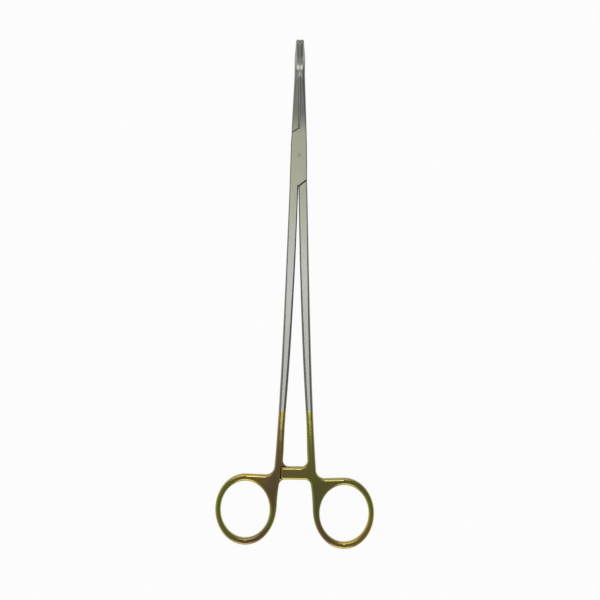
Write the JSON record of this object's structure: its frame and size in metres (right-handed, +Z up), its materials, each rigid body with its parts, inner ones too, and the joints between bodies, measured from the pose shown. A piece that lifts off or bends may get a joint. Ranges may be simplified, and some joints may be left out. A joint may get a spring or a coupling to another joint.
{
  "type": "right angle clamp",
  "caption": "Long ring-handled box-lock surgical clamp with jaws bent up near the tips, a ratchet between the shanks and two finger rings.",
  "frame": {"origin": "on the axis of the lock pin, in the plane of the box lock's back face, which the clamp rests on", "axes": "+Y along the jaws towards their tips, +Z up out of the resting plane, the way the tips bend, +X to the right seen from above"},
  "size_m": [0.0762, 0.2404, 0.0283],
  "materials": {
    "box_half_steel": "satin steel, with polished gold plating from the lower shank to the ring",
    "through_half_steel": "satin steel, with polished gold plating from the lower shank to the ring",
    "lock_pin_steel": "satin, ground flush with the box lock"
  },
  "bodies": {
    "left_handle": {"box_half": "box_half_steel", "lock_pin": "lock_pin_steel"},
    "right_handle": {"through_half": "through_half_steel"}
  },
  "joints": [
    {"name": "box_lock", "type": "hinge", "parent": "left_handle", "child": "right_handle", "pos_m": [0, 0, 0], "axis": [0, 0, 1], "range_deg": [0, 50]}
  ]
}
